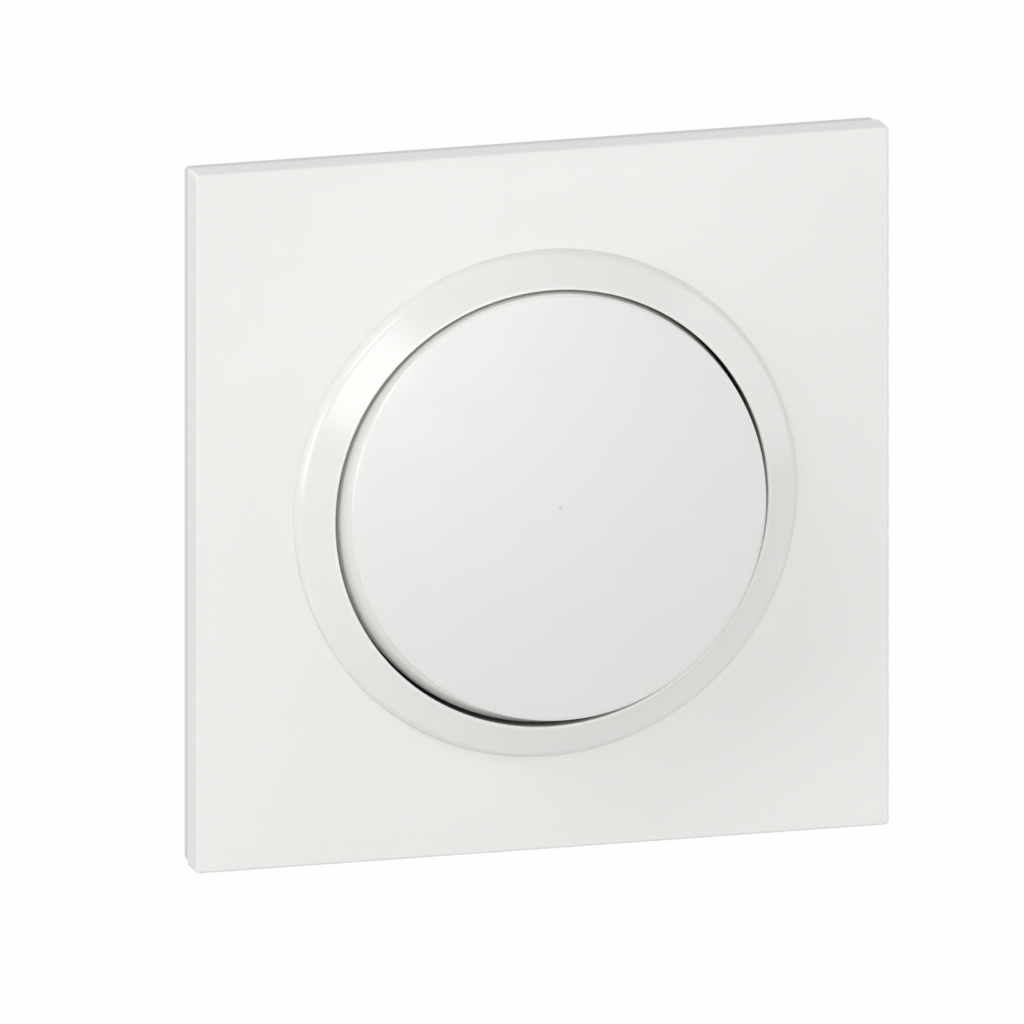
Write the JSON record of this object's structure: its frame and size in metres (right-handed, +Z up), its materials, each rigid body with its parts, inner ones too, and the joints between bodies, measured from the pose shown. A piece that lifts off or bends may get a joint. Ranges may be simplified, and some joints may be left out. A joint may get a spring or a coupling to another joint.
{
  "type": "push button light switch",
  "caption": "Square white wall plate with a softly crowned front, a glossy conical trim ring and a round push button tilted out at the bottom; frame, contacts and push-in terminals behind.",
  "frame": {"origin": "middle of the fixing screws' pattern, on the wall's surface", "axes": "+X to the right seen from the room, +Y into the wall, +Z up"},
  "size_m": [0.08, 0.0384, 0.08],
  "materials": {
    "plate_white": "satin",
    "ring_white": "polished",
    "button_white": "smooth, half gloss",
    "cradle_dark": "matt",
    "frame_grey": "matt",
    "deck_dark": "matt",
    "housing_grey": "matt",
    "plunger_plastic": "matt",
    "spring_steel": "bright",
    "blade_bronze": "bright rolled strip",
    "brass": "bright",
    "silver": "satin",
    "pusher_orange": "matt"
  },
  "bodies": {
    "housing": {"cover_plate": "plate_white", "trim_ring": "ring_white", "support_frame": "frame_grey", "mechanism_cover": "deck_dark", "mechanism_base": "housing_grey", "return_spring": "spring_steel", "contact_blade": "blade_bronze", "blade_rivet": "brass", "moving_contact": "silver", "fixed_contact": "silver", "common_terminal": "brass", "switched_terminal": "brass", "common_clamp_lower": "spring_steel", "common_clamp_upper": "spring_steel", "switched_clamp_lower": "spring_steel", "switched_clamp_upper": "spring_steel"},
    "button": {"button_cap": "button_white", "button_cradle": "cradle_dark"},
    "plunger": {"plunger": "plunger_plastic"},
    "common_release": {"common_release": "pusher_orange"},
    "switched_release": {"switched_release": "pusher_orange"}
  },
  "joints": [
    {"name": "button_press", "type": "hinge", "parent": "housing", "child": "button", "pos_m": [0, -0.0039, 0], "axis": [1, 0, 0], "range_deg": [0, 8], "stiffness_Nm_per_rad": 0.15, "springref_deg": -11.46},
    {"name": "plunger_slide", "type": "slide", "parent": "housing", "child": "plunger", "axis": [0, 1, 0], "range_m": [0, 0.00183], "deforming": ["return_spring", "contact_blade", "moving_contact"]},
    {"name": "common_release_push", "type": "slide", "parent": "housing", "child": "common_release", "axis": [0, -1, 0], "range_m": [0, 0.0015], "stiffness_N_per_m": 1500, "springref_m": -0.0005, "deforming": ["common_clamp_lower", "common_clamp_upper"]},
    {"name": "switched_release_push", "type": "slide", "parent": "housing", "child": "switched_release", "axis": [0, -1, 0], "range_m": [0, 0.0015], "stiffness_N_per_m": 1500, "springref_m": -0.0005, "deforming": ["switched_clamp_lower", "switched_clamp_upper"]}
  ],
  "couplings": [
    {"joint": "plunger_slide", "follows": "button_press", "m_per_rad": 0.01304}
  ]
}
